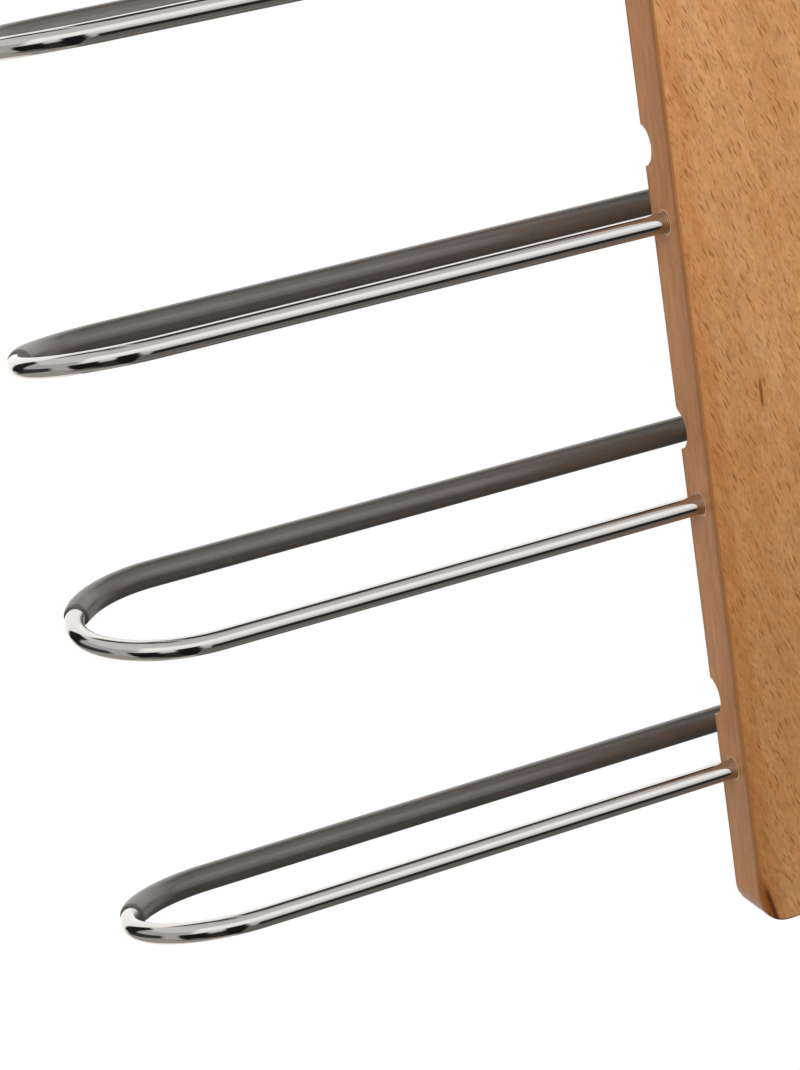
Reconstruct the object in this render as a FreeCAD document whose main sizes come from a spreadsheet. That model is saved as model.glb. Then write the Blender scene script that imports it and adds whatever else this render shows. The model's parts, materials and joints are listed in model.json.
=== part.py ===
"""Multi-tier trouser hanger: a beech spine board with a swivel hook and four fold-down bars.

Millimetres and degrees. X runs along the bars, Y points away from the board's front face,
Z is up. The origin is the point inside the hook's crook where a wardrobe rail bears.
"""
import FreeCAD, Part
import math
import os

import Sketcher

doc = FreeCAD.newDocument("trouser_hanger")

SIZES = {
    # Spine board
    "board_width": 60.0,
    "board_thickness": 18.0,
    "board_top_margin": 50.0,
    "lowest_sleeve_clearance": 9.4,
    "board_corner_radius": 9.0,
    "board_arris_radius": 1.2,
    "board_back_arris_radius": 2.0,
    # Trouser bars
    "bar_pitch": 85.0,
    "bar_reach": 182.0,
    "loop_width": 64.0,
    "rod_diameter": 6.0,
    "pivot_depth": 14.0,
    "pivot_end_gap": 2.0,
    "pivot_clearance": 0.05,
    "pivot_chamfer": 0.4,
    # Grip sleeves and the grooves they fold into
    "sleeve_wall": 1.05,
    "sleeve_fit": 0.05,
    "sleeve_end_angle": 26.0,
    "fold_angle": 83.5,
    "groove_seat_clearance": 0.4,
    # Angle of each bar above the level, top tier first
    "bar_angle_1": -5.0,
    "bar_angle_2": -8.05,
    "bar_angle_3": 1.92,
    "bar_angle_4": -10.93,
    # Sideways place of each bar within the gaps at its ends, top tier first
    "bar_shift_1": 0.0,
    "bar_shift_2": -1.5,
    "bar_shift_3": 0.0,
    "bar_shift_4": -1.4,
    # Hook
    "hook_inner_radius": 20.0,
    "hook_wire_diameter": 5.0,
    "hook_bend_radius": 12.0,
    "hook_tip_drop": 4.0,
    "hook_tip_round": 2.3,
    "hook_tip_flat": 0.2,
    "hook_shank_rise": 14.0,
    # Swivel inside the board's top end
    "bush_radius": 5.0,
    "bush_length": 14.0,
    "bush_spigot": 2.0,
    "swivel_clearance": 0.05,
    "swivel_end_play": 0.1,
    "clip_hole_clearance": 0.7,
    "clip_thickness": 1.0,
    "clip_gap": 2.6,
    "clip_fit": 0.05,
    "clip_groove_depth": 0.6,
    "shank_tail": 2.0,
    "shank_end_clearance": 4.9,
    # Ferrule
    "ferrule_radius": 8.0,
    "ferrule_rim": 1.2,
    "ferrule_height": 5.0,
    "ferrule_bore_clearance": 0.3,
    "ferrule_lip": 1.4,
}

TIERS = (1, 2, 3, 4)
FOLDING_TIERS = TIERS[:-1]

sheet = doc.addObject("Spreadsheet::Sheet", "sizes")
for row, (alias, value) in enumerate(SIZES.items(), start=1):
    sheet.set("A%d" % row, alias)
    sheet.set("B%d" % row, str(value))
    sheet.setAlias("B%d" % row, alias)
doc.recompute()

# Places that follow from the sizes, as expressions on the sheet
WIRE_RADIUS = "sizes.hook_wire_diameter / 2"
TIP_ROUND = "min(sizes.hook_tip_round; %s - sizes.hook_tip_flat)" % WIRE_RADIUS
CROOK_RADIUS = "(sizes.hook_inner_radius + %s)" % WIRE_RADIUS
BEND_DROP = "(sizes.hook_inner_radius + sqrt(%s ^ 2 + 2 * sizes.hook_bend_radius * %s))" % (
    CROOK_RADIUS,
    CROOK_RADIUS,
)
ROD_RADIUS = "sizes.rod_diameter / 2"
SLEEVE_BORE_RADIUS = "(%s + sizes.sleeve_fit)" % ROD_RADIUS
SLEEVE_RADIUS = "(%s + sizes.sleeve_wall)" % SLEEVE_BORE_RADIUS
FOLDED_DEPTH = "(sizes.loop_width * cos(sizes.fold_angle * 1 deg))"
GROOVE_DROP = "(sizes.loop_width * sin(sizes.fold_angle * 1 deg))"
GROOVE_RADIUS = "(sizes.board_thickness / 2 - %s + %s + sizes.groove_seat_clearance)" % (
    FOLDED_DEPTH,
    SLEEVE_RADIUS,
)
BOARD_TOP_DROP = "(%s + sizes.hook_shank_rise)" % BEND_DROP
PIVOT_DROP = {
    tier: "(%s + sizes.board_top_margin + %d * sizes.bar_pitch)" % (BOARD_TOP_DROP, step)
    for step, tier in enumerate(TIERS)
}
BOARD_BOTTOM_DROP = "(%s + sizes.loop_width - %s - sizes.lowest_sleeve_clearance)" % (
    PIVOT_DROP[TIERS[-1]],
    SLEEVE_RADIUS,
)
BUSH_BOTTOM_DROP = "(%s + sizes.bush_length)" % BOARD_TOP_DROP
CLIP_TOP_DROP = "(%s + sizes.swivel_end_play)" % BUSH_BOTTOM_DROP
CLIP_BOTTOM_DROP = "(%s + sizes.clip_thickness)" % CLIP_TOP_DROP
SHANK_END_DROP = "(%s + sizes.shank_tail)" % CLIP_BOTTOM_DROP
SWIVEL_HOLE_DEPTH = "(%s + sizes.shank_end_clearance - %s)" % (SHANK_END_DROP, BOARD_TOP_DROP)
CLIP_RADIUS = "(sizes.bush_radius - sizes.clip_hole_clearance)"
CLIP_GROOVE_RADIUS = "(%s - sizes.clip_groove_depth)" % WIRE_RADIUS
BEND_X = "(sizes.board_width / 2 + sizes.bar_reach - sizes.loop_width / 2)"
ROD_END_X = "(sizes.board_width / 2 - sizes.pivot_depth + sizes.pivot_end_gap)"

FULL_TURN = 360.0
TOLERANCE = 1e-4


def size(expression):
    """Value of an expression on the sheet."""
    return float(sheet.evalExpression(expression.replace("sizes.", "")))


def point(x, y):
    return FreeCAD.Vector(x, y, 0)


def new_body(label):
    body = doc.addObject("PartDesign::Body", label)
    body.Label = label
    return body


def origin_feature(body, role):
    return next(feature for feature in body.Origin.OriginFeatures if feature.Role == role)


def new_sketch(body, name, plane, offset=None):
    """Sketch on one of the body's own origin planes, moved along its normal by an expression."""
    sketch = body.newObject("Sketcher::SketchObject", name)
    sketch.AttachmentSupport = (origin_feature(body, plane), [""])
    sketch.MapMode = "FlatFace"
    if offset:
        sketch.setExpression("AttachmentOffset.Base.z", offset)
    return sketch


def constrain(sketch, *arguments):
    """Add a geometric constraint, or a dimension whose last argument is an expression."""
    if isinstance(arguments[-1], str):
        *arguments, expression = arguments
        index = sketch.addConstraint(Sketcher.Constraint(*arguments, size(expression)))
        sketch.setExpression("Constraints[%d]" % index, expression)
    else:
        sketch.addConstraint(Sketcher.Constraint(*arguments))


def add_line(sketch, start, end):
    return sketch.addGeometry(Part.LineSegment(point(*start), point(*end)))


def add_arc(sketch, centre, radius, start_degrees, end_degrees):
    circle = Part.Circle(point(*centre), FreeCAD.Vector(0, 0, 1), radius)
    arc = Part.ArcOfCircle(circle, math.radians(start_degrees), math.radians(end_degrees))
    return sketch.addGeometry(arc)


def add_circle(sketch, x, y, radius):
    """Circle whose centre and radius are expressions; a None coordinate lies on that axis."""
    place = (size(x) if x else 0, size(y) if y else 0)
    circle = sketch.addGeometry(Part.Circle(point(*place), FreeCAD.Vector(0, 0, 1), size(radius)))
    if x:
        constrain(sketch, "DistanceX", -1, 1, circle, 3, x)
    else:
        constrain(sketch, "PointOnObject", circle, 3, -2)
    if y:
        constrain(sketch, "DistanceY", circle, 3, -1, 1, "-(%s)" % y)
    else:
        constrain(sketch, "PointOnObject", circle, 3, -1)
    constrain(sketch, "Radius", circle, radius)
    return circle


def add_profile(sketch, corners):
    """Closed outline of straight sides; each corner is a pair of expressions."""
    places = [(size(x), size(y)) for x, y in corners]
    count = len(places)
    for index in range(count):
        add_line(sketch, places[index], places[(index + 1) % count])
    for index in range(count):
        constrain(sketch, "Coincident", index, 2, (index + 1) % count, 1)
    for index, (x, y) in enumerate(corners):
        constrain(sketch, "DistanceX", -1, 1, index, 1, x)
        constrain(sketch, "DistanceY", -1, 1, index, 1, y)


def add_pipe(body, name, profile, path):
    pipe = body.newObject("PartDesign::AdditivePipe", name)
    pipe.Profile = profile
    pipe.Spine = path
    doc.recompute()
    return pipe


def add_turned(body, kind, name, sketch):
    """Revolution or Groove of a sketch about the body's Z axis."""
    turned = body.newObject("PartDesign::" + kind, name)
    turned.Profile = sketch
    turned.ReferenceAxis = (origin_feature(body, "Z_Axis"), [""])
    turned.Angle = FULL_TURN
    doc.recompute()
    return turned


def edges_where(feature, test):
    return ["Edge%d" % number for number, edge in enumerate(feature.Shape.Edges, start=1) if test(edge)]


def is_round_edge(edge, radius):
    return isinstance(edge.Curve, Part.Circle) and abs(edge.Curve.Radius - radius) < TOLERANCE


def add_dressing(body, kind, name, base, edges, dimension, expression):
    """Fillet or Chamfer on the named edges of a feature."""
    dressing = body.newObject("PartDesign::" + kind, name)
    dressing.Base = (base, edges)
    dressing.setExpression(dimension, expression)
    doc.recompute()
    return dressing


def cut_depth(body, name, sketch, depth, towards_normal):
    """Pocket of a given depth, on the side of the sketch that its normal points to or away from."""
    before = body.Shape.Volume
    pocket = body.newObject("PartDesign::Pocket", name)
    pocket.Profile = sketch
    pocket.setExpression("Length", depth)
    pocket.Reversed = towards_normal
    doc.recompute()
    if body.Shape.Volume > before - 1:
        raise RuntimeError(name + " cuts nothing")
    return pocket


def make_spine_board():
    body = new_body("spine_board")
    half_width = "sizes.board_width / 2"

    outline = new_sketch(body, "board_outline", "XZ_Plane")
    right = size(half_width)
    top = -size(BOARD_TOP_DROP)
    bottom = -size(BOARD_BOTTOM_DROP)
    corner = size("sizes.board_corner_radius")
    add_line(outline, (corner - right, bottom), (right - corner, bottom))
    add_arc(outline, (right - corner, bottom + corner), corner, 270, 360)
    add_line(outline, (right, bottom + corner), (right, top - corner))
    add_arc(outline, (right - corner, top - corner), corner, 0, 90)
    add_line(outline, (right - corner, top), (corner - right, top))
    add_arc(outline, (corner - right, top - corner), corner, 90, 180)
    add_line(outline, (-right, top - corner), (-right, bottom + corner))
    add_arc(outline, (corner - right, bottom + corner), corner, 180, 270)
    side_count = 8
    for side in range(side_count):
        constrain(outline, "Tangent", side, 2, (side + 1) % side_count, 1)
    for level in (0, 4):
        constrain(outline, "Horizontal", level)
    for upright in (2, 6):
        constrain(outline, "Vertical", upright)
    for arc in (3, 5, 7):
        constrain(outline, "Equal", 1, arc)
    constrain(outline, "Radius", 1, "sizes.board_corner_radius")
    constrain(outline, "DistanceX", -1, 1, 2, 1, half_width)
    constrain(outline, "DistanceX", 6, 1, -1, 1, half_width)
    constrain(outline, "DistanceY", 4, 1, -1, 1, BOARD_TOP_DROP)
    constrain(outline, "DistanceY", 0, 1, -1, 1, BOARD_BOTTOM_DROP)

    slab = body.newObject("PartDesign::Pad", "board_slab")
    slab.Profile = outline
    slab.setExpression("Length", "sizes.board_thickness")
    slab.SideType = "Symmetric"
    doc.recompute()

    half_thickness = size("sizes.board_thickness / 2")

    def arrises_of(feature, depth):
        """Edges round the face that lies at that depth."""
        return edges_where(
            feature, lambda edge: all(abs(vertex.Y - depth) < TOLERANCE for vertex in edge.Vertexes)
        )

    front_arrises = arrises_of(slab, -half_thickness)
    front = add_dressing(
        body, "Fillet", "front_arrises", slab, front_arrises, "Radius", "sizes.board_arris_radius"
    )
    back_arrises = arrises_of(front, half_thickness)
    add_dressing(
        body, "Fillet", "back_arrises", front, back_arrises, "Radius", "sizes.board_back_arris_radius"
    )

    grooves = new_sketch(body, "sleeve_grooves", "YZ_Plane")
    for tier in FOLDING_TIERS:
        groove_z = "(-%s - %s)" % (PIVOT_DROP[tier], GROOVE_DROP)
        add_circle(grooves, "sizes.board_thickness / 2", groove_z, GROOVE_RADIUS)
    before = body.Shape.Volume
    groove_cut = body.newObject("PartDesign::Pocket", "groove_cut")
    groove_cut.Profile = grooves
    groove_cut.Type = "ThroughAll"
    groove_cut.SideType = "Symmetric"
    doc.recompute()
    if body.Shape.Volume > before - 1:
        raise RuntimeError("the grooves cut nothing")

    pivots = new_sketch(body, "pivot_holes", "YZ_Plane", half_width)
    pivot_radius = "(%s + sizes.pivot_clearance)" % ROD_RADIUS
    for tier in TIERS:
        add_circle(pivots, None, "(-%s)" % PIVOT_DROP[tier], pivot_radius)
    pivot_cut = cut_depth(body, "pivot_cut", pivots, "sizes.pivot_depth", False)
    both_edges = body.newObject("PartDesign::Mirrored", "pivot_cut_mirrored")
    both_edges.Originals = [pivot_cut]
    both_edges.MirrorPlane = (origin_feature(body, "YZ_Plane"), [""])
    body.Tip = both_edges
    doc.recompute()

    def is_pivot_mouth(edge):
        return is_round_edge(edge, size(pivot_radius)) and (
            abs(abs(edge.Curve.Center.x) - size(half_width)) < TOLERANCE
        )

    mouths = edges_where(both_edges, is_pivot_mouth)
    add_dressing(body, "Chamfer", "pivot_mouths", both_edges, mouths, "Size", "sizes.pivot_chamfer")

    swivel_hole = new_sketch(body, "swivel_hole", "XY_Plane", "-%s" % BOARD_TOP_DROP)
    add_circle(swivel_hole, None, None, "sizes.bush_radius")
    cut_depth(body, "swivel_cut", swivel_hole, SWIVEL_HOLE_DEPTH, False)
    return body


def place_on_pivot(body, tier):
    """Set a bar or sleeve, drawn level about its own X axis, on its pivot at its own angle and shift."""
    axis = FreeCAD.Vector(1, 0, 0)
    angle = "sizes.bar_angle_%d" % tier
    shift = "sizes.bar_shift_%d" % tier
    body.Placement = FreeCAD.Placement(
        FreeCAD.Vector(size(shift), 0, -size(PIVOT_DROP[tier])), FreeCAD.Rotation(axis, size(angle))
    )
    body.setExpression("Placement.Base.x", shift)
    body.setExpression("Placement.Base.z", "-%s" % PIVOT_DROP[tier])
    body.setExpression("Placement.Rotation.Angle", angle)


def make_trouser_bar(tier):
    """One rod bent to a loop, open behind the board's edges, with its two ends on the pivot axis."""
    body = new_body("trouser_bar_%d" % tier)
    path = new_sketch(body, "bar_%d_path" % tier, "XY_Plane")
    end = size(ROD_END_X)
    bend = size(BEND_X)
    width = size("sizes.loop_width")
    add_line(path, (end, 0), (bend, 0))
    add_arc(path, (bend, width / 2), width / 2, -90, 90)
    add_line(path, (bend, width), (-bend, width))
    add_arc(path, (-bend, width / 2), width / 2, 90, 270)
    add_line(path, (-bend, 0), (-end, 0))
    for vertex in (1, 2):
        constrain(path, "PointOnObject", 0, vertex, -1)
    for piece in range(4):
        constrain(path, "Tangent", piece, 2, piece + 1, 1)
    constrain(path, "Symmetric", 0, 1, 4, 2, -2)
    constrain(path, "Symmetric", 0, 2, 4, 1, -2)
    constrain(path, "Horizontal", 2)
    constrain(path, "DistanceX", -1, 1, 0, 1, ROD_END_X)
    constrain(path, "DistanceX", -1, 1, 0, 2, BEND_X)
    constrain(path, "DistanceY", 0, 2, 1, 2, "sizes.loop_width")

    section = new_sketch(body, "bar_%d_section" % tier, "YZ_Plane", ROD_END_X)
    add_circle(section, None, None, ROD_RADIUS)
    add_pipe(body, "bar_%d_rod" % tier, section, path)
    place_on_pivot(body, tier)
    return body


def make_grip_sleeve(tier):
    """Tube on the back leg of a bar, from just past the middle of one tip round to the other tip."""
    body = new_body("grip_sleeve_%d" % tier)
    path = new_sketch(body, "sleeve_%d_path" % tier, "XY_Plane")
    bend = size(BEND_X)
    width = size("sizes.loop_width")
    half_loop = "sizes.loop_width / 2"
    end_rise = "%s * sin(sizes.sleeve_end_angle * 1 deg)" % half_loop
    end_angle = size("sizes.sleeve_end_angle")
    add_arc(path, (bend, width / 2), width / 2, end_angle, 90)
    add_line(path, (bend, width), (-bend, width))
    add_arc(path, (-bend, width / 2), width / 2, 90, 180 - end_angle)
    constrain(path, "Tangent", 0, 2, 1, 1)
    constrain(path, "Tangent", 1, 2, 2, 1)
    constrain(path, "Symmetric", 1, 1, 1, 2, -2)
    constrain(path, "DistanceX", -1, 1, 1, 1, BEND_X)
    constrain(path, "DistanceY", -1, 1, 1, 1, "sizes.loop_width")
    constrain(path, "Radius", 0, half_loop)
    constrain(path, "Equal", 0, 2)
    constrain(path, "DistanceY", 0, 3, 0, 1, end_rise)
    constrain(path, "DistanceY", 2, 3, 2, 2, end_rise)
    doc.recompute()

    section = body.newObject("Sketcher::SketchObject", "sleeve_%d_section" % tier)
    section.AttachmentSupport = (path, ["Edge1"])
    section.MapMode = "NormalToEdge"
    section.MapPathParameter = 0
    doc.recompute()
    add_circle(section, None, None, SLEEVE_RADIUS)
    add_circle(section, None, None, SLEEVE_BORE_RADIUS)
    add_pipe(body, "sleeve_%d_tube" % tier, section, path)
    place_on_pivot(body, tier)
    return body


def make_hook():
    """Wire hook: upright shank, reverse bend, crook centred on the shank, and a domed tip."""
    body = new_body("hook")
    path = new_sketch(body, "hook_path", "XZ_Plane")
    bend_start = -size(BEND_DROP)
    bend = size("sizes.hook_bend_radius")
    crook = size(CROOK_RADIUS)
    crook_centre = -size("sizes.hook_inner_radius")
    meeting = math.degrees(math.acos(bend / (bend + crook)))
    tip = 180 + math.degrees(math.asin(size("sizes.hook_tip_drop") / crook))
    add_line(path, (0, -size(SHANK_END_DROP)), (0, bend_start))
    add_arc(path, (bend, bend_start), bend, 180 - meeting, 180)
    add_arc(path, (0, crook_centre), crook, -meeting, tip)
    for vertex in (1, 2):
        constrain(path, "PointOnObject", 0, vertex, -2)
    constrain(path, "Tangent", 0, 2, 1, 2)
    constrain(path, "Tangent", 1, 1, 2, 1)
    constrain(path, "PointOnObject", 2, 3, -2)
    constrain(path, "DistanceY", 2, 3, -1, 1, "sizes.hook_inner_radius")
    constrain(path, "Radius", 2, CROOK_RADIUS)
    constrain(path, "Radius", 1, "sizes.hook_bend_radius")
    constrain(path, "DistanceY", 0, 1, -1, 1, SHANK_END_DROP)
    constrain(path, "DistanceY", 2, 2, 2, 3, "sizes.hook_tip_drop")

    section = new_sketch(body, "hook_section", "XY_Plane", "-%s" % SHANK_END_DROP)
    add_circle(section, None, None, WIRE_RADIUS)
    wire = add_pipe(body, "hook_wire", section, path)

    def is_tip(edge):
        return is_round_edge(edge, size(WIRE_RADIUS)) and edge.Curve.Center.x < -size(WIRE_RADIUS) and (
            abs(edge.Curve.Center.z - crook_centre + size("sizes.hook_tip_drop")) < TOLERANCE
        )

    add_dressing(body, "Fillet", "hook_tip", wire, edges_where(wire, is_tip), "Radius", TIP_ROUND)

    clip_seat = new_sketch(body, "clip_seat", "XZ_Plane")
    outside = "(%s + sizes.clip_groove_depth)" % WIRE_RADIUS
    upper = "-%s" % CLIP_TOP_DROP
    lower = "-%s" % CLIP_BOTTOM_DROP
    inside = CLIP_GROOVE_RADIUS
    add_profile(clip_seat, [(inside, lower), (outside, lower), (outside, upper), (inside, upper)])
    before = body.Shape.Volume
    add_turned(body, "Groove", "clip_groove", clip_seat)
    if body.Shape.Volume > before - 1:
        raise RuntimeError("the clip groove cuts nothing")
    return body


def make_hook_ferrule():
    """Cap on the board's top end, counterbored to sit over the bush."""
    body = new_body("hook_ferrule")
    section = new_sketch(body, "ferrule_section", "XZ_Plane")
    base = "-%s" % BOARD_TOP_DROP
    rim = "(%s + sizes.ferrule_rim)" % base
    web = "(%s + sizes.bush_spigot)" % base
    crown = "(%s + sizes.ferrule_height)" % base
    bore = "(%s + sizes.ferrule_bore_clearance)" % WIRE_RADIUS
    crown_radius = "(%s + sizes.ferrule_lip)" % bore
    add_profile(
        section,
        [
            ("sizes.bush_radius", base),
            ("sizes.ferrule_radius", base),
            ("sizes.ferrule_radius", rim),
            (crown_radius, crown),
            (bore, crown),
            (bore, web),
            ("sizes.bush_radius", web),
        ],
    )
    add_turned(body, "Revolution", "ferrule_cap", section)
    return body


def make_hook_bush():
    """Bush pressed into the board, standing proud by a spigot that the ferrule covers."""
    body = new_body("hook_bush")
    section = new_sketch(body, "bush_section", "XZ_Plane")
    bore = "(%s + sizes.swivel_clearance)" % WIRE_RADIUS
    lower = "-%s" % BUSH_BOTTOM_DROP
    upper = "(-%s + sizes.bush_spigot)" % BOARD_TOP_DROP
    outside = "sizes.bush_radius"
    add_profile(section, [(bore, lower), (outside, lower), (outside, upper), (bore, upper)])
    add_turned(body, "Revolution", "bush_tube", section)
    return body


def make_hook_clip():
    """Open retaining ring in the shank's groove, under the bush."""
    ring = doc.addObject("Part::Cylinder", "clip_ring")
    ring.setExpression("Radius", CLIP_RADIUS)
    ring.setExpression("Height", "sizes.clip_thickness")
    bore = doc.addObject("Part::Cylinder", "clip_bore")
    bore.setExpression("Radius", "%s + sizes.clip_fit" % CLIP_GROOVE_RADIUS)
    bore.setExpression("Height", "sizes.clip_thickness")
    gap = doc.addObject("Part::Box", "clip_opening")
    gap.setExpression("Length", CLIP_RADIUS)
    gap.setExpression("Width", "sizes.clip_gap")
    gap.setExpression("Height", "sizes.clip_thickness")
    gap.setExpression("Placement.Base.y", "-sizes.clip_gap / 2")
    for piece in (ring, bore, gap):
        piece.setExpression("Placement.Base.z", "-%s" % CLIP_BOTTOM_DROP)
    opening = doc.addObject("Part::Fuse", "clip_openings")
    opening.Base = bore
    opening.Tool = gap
    clip = doc.addObject("Part::Cut", "hook_clip")
    clip.Base = ring
    clip.Tool = opening
    clip.Label = "hook_clip"
    return clip


pieces = [make_spine_board()]
for bar_tier in TIERS:
    pieces.append(make_trouser_bar(bar_tier))
    pieces.append(make_grip_sleeve(bar_tier))
pieces += [make_hook(), make_hook_ferrule(), make_hook_bush(), make_hook_clip()]
doc.recompute()

for item in doc.Objects:
    if "Invalid" in item.State or "Error" in item.State:
        raise RuntimeError("%s failed: %s" % (item.Label, item.State))
for piece in pieces:
    if piece.Shape.isNull() or not piece.Shape.isValid() or len(piece.Shape.Solids) != 1:
        raise RuntimeError(piece.Label + " is not one valid solid")

os.makedirs("parts", exist_ok=True)
for piece in pieces:
    piece.Shape.exportStep("parts/%s.step" % piece.Label)
    print("%s: %.1f mm3" % (piece.Label, piece.Shape.Volume))
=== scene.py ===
"""Looks of the multi-tier trouser hanger: beech board, chromed bars, grip sleeves and swivel hook.

Metres. X runs along the bars, Y points from the board's front face to the loops behind it, Z is up.
The origin is the point inside the hook where the wardrobe rail bears.
"""
import json
import math

import bmesh
import bpy
from bmesh.types import BMEdge, BMVert
from bpy.props import FloatProperty, FloatVectorProperty, PointerProperty
from mathutils import Matrix, Vector


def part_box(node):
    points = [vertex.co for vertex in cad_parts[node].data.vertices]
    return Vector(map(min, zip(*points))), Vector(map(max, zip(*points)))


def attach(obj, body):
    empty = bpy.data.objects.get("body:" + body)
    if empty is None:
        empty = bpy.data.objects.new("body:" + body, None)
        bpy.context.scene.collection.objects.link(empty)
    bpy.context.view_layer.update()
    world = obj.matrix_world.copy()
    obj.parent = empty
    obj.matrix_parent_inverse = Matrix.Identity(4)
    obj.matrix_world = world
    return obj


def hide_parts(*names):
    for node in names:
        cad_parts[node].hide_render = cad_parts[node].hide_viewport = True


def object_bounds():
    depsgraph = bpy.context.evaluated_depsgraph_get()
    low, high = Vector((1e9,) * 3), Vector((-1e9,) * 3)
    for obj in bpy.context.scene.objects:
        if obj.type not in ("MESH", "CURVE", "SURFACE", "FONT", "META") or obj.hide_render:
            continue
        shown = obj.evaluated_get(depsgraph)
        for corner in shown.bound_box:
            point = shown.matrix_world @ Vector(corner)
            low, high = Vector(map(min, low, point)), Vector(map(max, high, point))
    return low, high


bl_info = {
    "name": "Multi-tier trouser hanger",
    "version": (1, 0, 0),
    "blender": (4, 5, 0),
    "location": "View3D > Sidebar > Hanger",
    "description": "Builds the board, bars, sleeves, hook and stage of a trouser hanger on its frame",
    "category": "Add Mesh",
}

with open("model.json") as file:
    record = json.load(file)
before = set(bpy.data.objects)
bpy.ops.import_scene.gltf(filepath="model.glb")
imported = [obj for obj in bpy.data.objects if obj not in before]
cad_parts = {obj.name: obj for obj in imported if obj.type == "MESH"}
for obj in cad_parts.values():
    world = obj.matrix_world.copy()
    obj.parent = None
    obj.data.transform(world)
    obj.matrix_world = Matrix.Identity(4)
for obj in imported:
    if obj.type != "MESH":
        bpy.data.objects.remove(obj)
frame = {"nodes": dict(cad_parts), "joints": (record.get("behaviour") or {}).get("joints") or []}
CAD_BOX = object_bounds()

MM = 0.001


def mm(*values):
    return tuple(value * MM for value in values)


TIERS = (1, 2, 3, 4)
JOINTS = {joint["name"]: joint for joint in frame["joints"]}
BOARD_LOW, BOARD_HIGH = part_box("spine_board")
HOOK_LOW, HOOK_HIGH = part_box("hook")
FERRULE_LOW, FERRULE_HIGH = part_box("hook_ferrule")
CLIP_LOW, CLIP_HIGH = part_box("hook_clip")
HALF_WIDTH = BOARD_HIGH.x
HALF_DEPTH = BOARD_HIGH.y

X_AXIS, Y_AXIS, Z_AXIS = Matrix.Identity(3)
HALF_TURN = math.pi
QUARTER_TURN = math.pi / 2
# Turns that set a level ring across an axis
ACROSS_X = Matrix.Rotation(QUARTER_TURN, 4, "Y")
ACROSS_Y = Matrix.Rotation(QUARTER_TURN, 4, "X")
ACROSS_Z = Matrix.Identity(4)

# How finely the meshes are divided
RING_SIDES = 64
BEND_STEPS = 72
END_STEPS = 3
TIP_STEPS = 10
TAPER_STEPS = 7
GROOVE_STEPS = 28
LIP_STEPS = 8
CORNER_STEPS = 14
ARRIS_STEPS = 5
SHARP_ANGLE = math.radians(35)
ARRIS_ANGLE = math.radians(60)
MERGE_DISTANCE = 1e-7

# Room at a rod's end in its hole, and round the board's cutters
ROD_END_GAP = 2.0 * MM
LIP_OVERLAP = 0.02 * MM
CUTTER_MARGIN = 5.0 * MM
# Length of the crook's last step, as a share of the rounding that it has to hold
TIP_ROOM = 1.05

# Noise: cell along X, Y and Z, detail, roughness, and two of its values with any tones there
BANDS = (mm(13, 16, 150), 2.0, 0.5, (0.32, 0.68))
STREAKS = (mm(0.9, 1.1, 10), 5.0, 0.7, (0.30, 0.70, 0.82, 1.14))
SOFT_STREAKS = (mm(2.2, 2.6, 30), 3.0, 0.55, (0.32, 0.68, 0.91, 1.08))
CLOUDS = (mm(4.5, 8, 9), 2.0, 0.5, (0.30, 0.70, 0.975, 1.025))
FIBRES = (mm(0.22, 0.22, 4), 2.0, 0.5, (0.25, 0.75, 0.92, 1.08))
FIGURE = (mm(0.8, 6, 3.2), 3.0, 0.6, (0.28, 0.72, 0.86, 1.11))
HUE = (mm(3.2, 9, 34), 2.0, 0.5, (0.33, 0.67))
PORES = (mm(0.35, 0.35, 0.35), 2.0, 0.5, (0.35, 0.65, 0.8, 1.0))
MOTTLE = (mm(14, 5, 5), 3.0, 0.6, (0.3, 0.7))
DRAWN_LINES = (mm(30, 0.35, 0.35), 2.0, 0.5, (0.3, 0.7, 0.0, 0.12))
SKIN = (mm(0.22, 0.22, 0.22), 2.0, 0.5, (0.2, 0.8, 0.26, 0.33))
POLISH = (mm(0.5, 0.5, 0.5), 3.0, 0.6, (0.3, 0.75, 0.045, 0.10))
TURNING_MARKS = (mm(8, 8, 0.12), 2.0, 0.5, ())
WANDER = (mm(5, 5, 9), 1.0, 0.5, ())
RIPPLE = (mm(9, 9, 9), 1.0, 0.5, ())
WOOD_ROUGHNESS = (0.2, 0.8, 0.42, 0.56)
TURNED_RANGE = (0.2, 0.8)
TURNED_ROUGHNESS = 0.06

# Factors on the wood's colour
# Painted shade: the wood grows darker towards the board's bottom, standing in for light that falls off
# downwards
LOWER_PAINTED_SHADE = (0.93, 0.90, 0.86)
STRIP_TINT = (0.89, 0.80, 0.69)
# Painted shade over the highlight on the front arris
BRINK_PAINTED_SHADE = (0.84, 0.82, 0.80)
ORANGE_TINT = (0.98, 0.915, 0.82)
PALE_TINT = (1.02, 1.05, 1.11)
EDGE_TONES = (1.07, 0.92)

# Distances from the board's faces at which a change in the wood starts and is complete
WIDE_FACE = mm(0.5, 0.08)
NARROW_FACE = mm(1.6, 1.0)
END_FACE = mm(7.0, 2.0)
END_RIM = mm(0.0, 0.9)
GROOVE_WALL = (*mm(2.0, 0.2), 0.86, 1.0)
# Painted shade along the arrises: where it starts and ends in from the faces and the sides, and its
# strength
ARRIS_INSIDE = mm(3.0, 1.0)
ARRIS_OUTSIDE = mm(0.02, 0.3)
ARRIS_SIDE = mm(1.2, 0.8)
ARRIS_STRENGTH = 0.75
BRINK = mm(1.6, 0.4)
SCORCH_DEPTH = mm(2.6, 0.9)

# How far the grain strays, and the width of the dark strip along the board's left side
GRAIN_DRIFT = 2.4 * MM
STRIP_GAIN = 10 * MM
STRIP_LEAST = 1.5 * MM
STRIP_BORDER = 2.0 * MM
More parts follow.
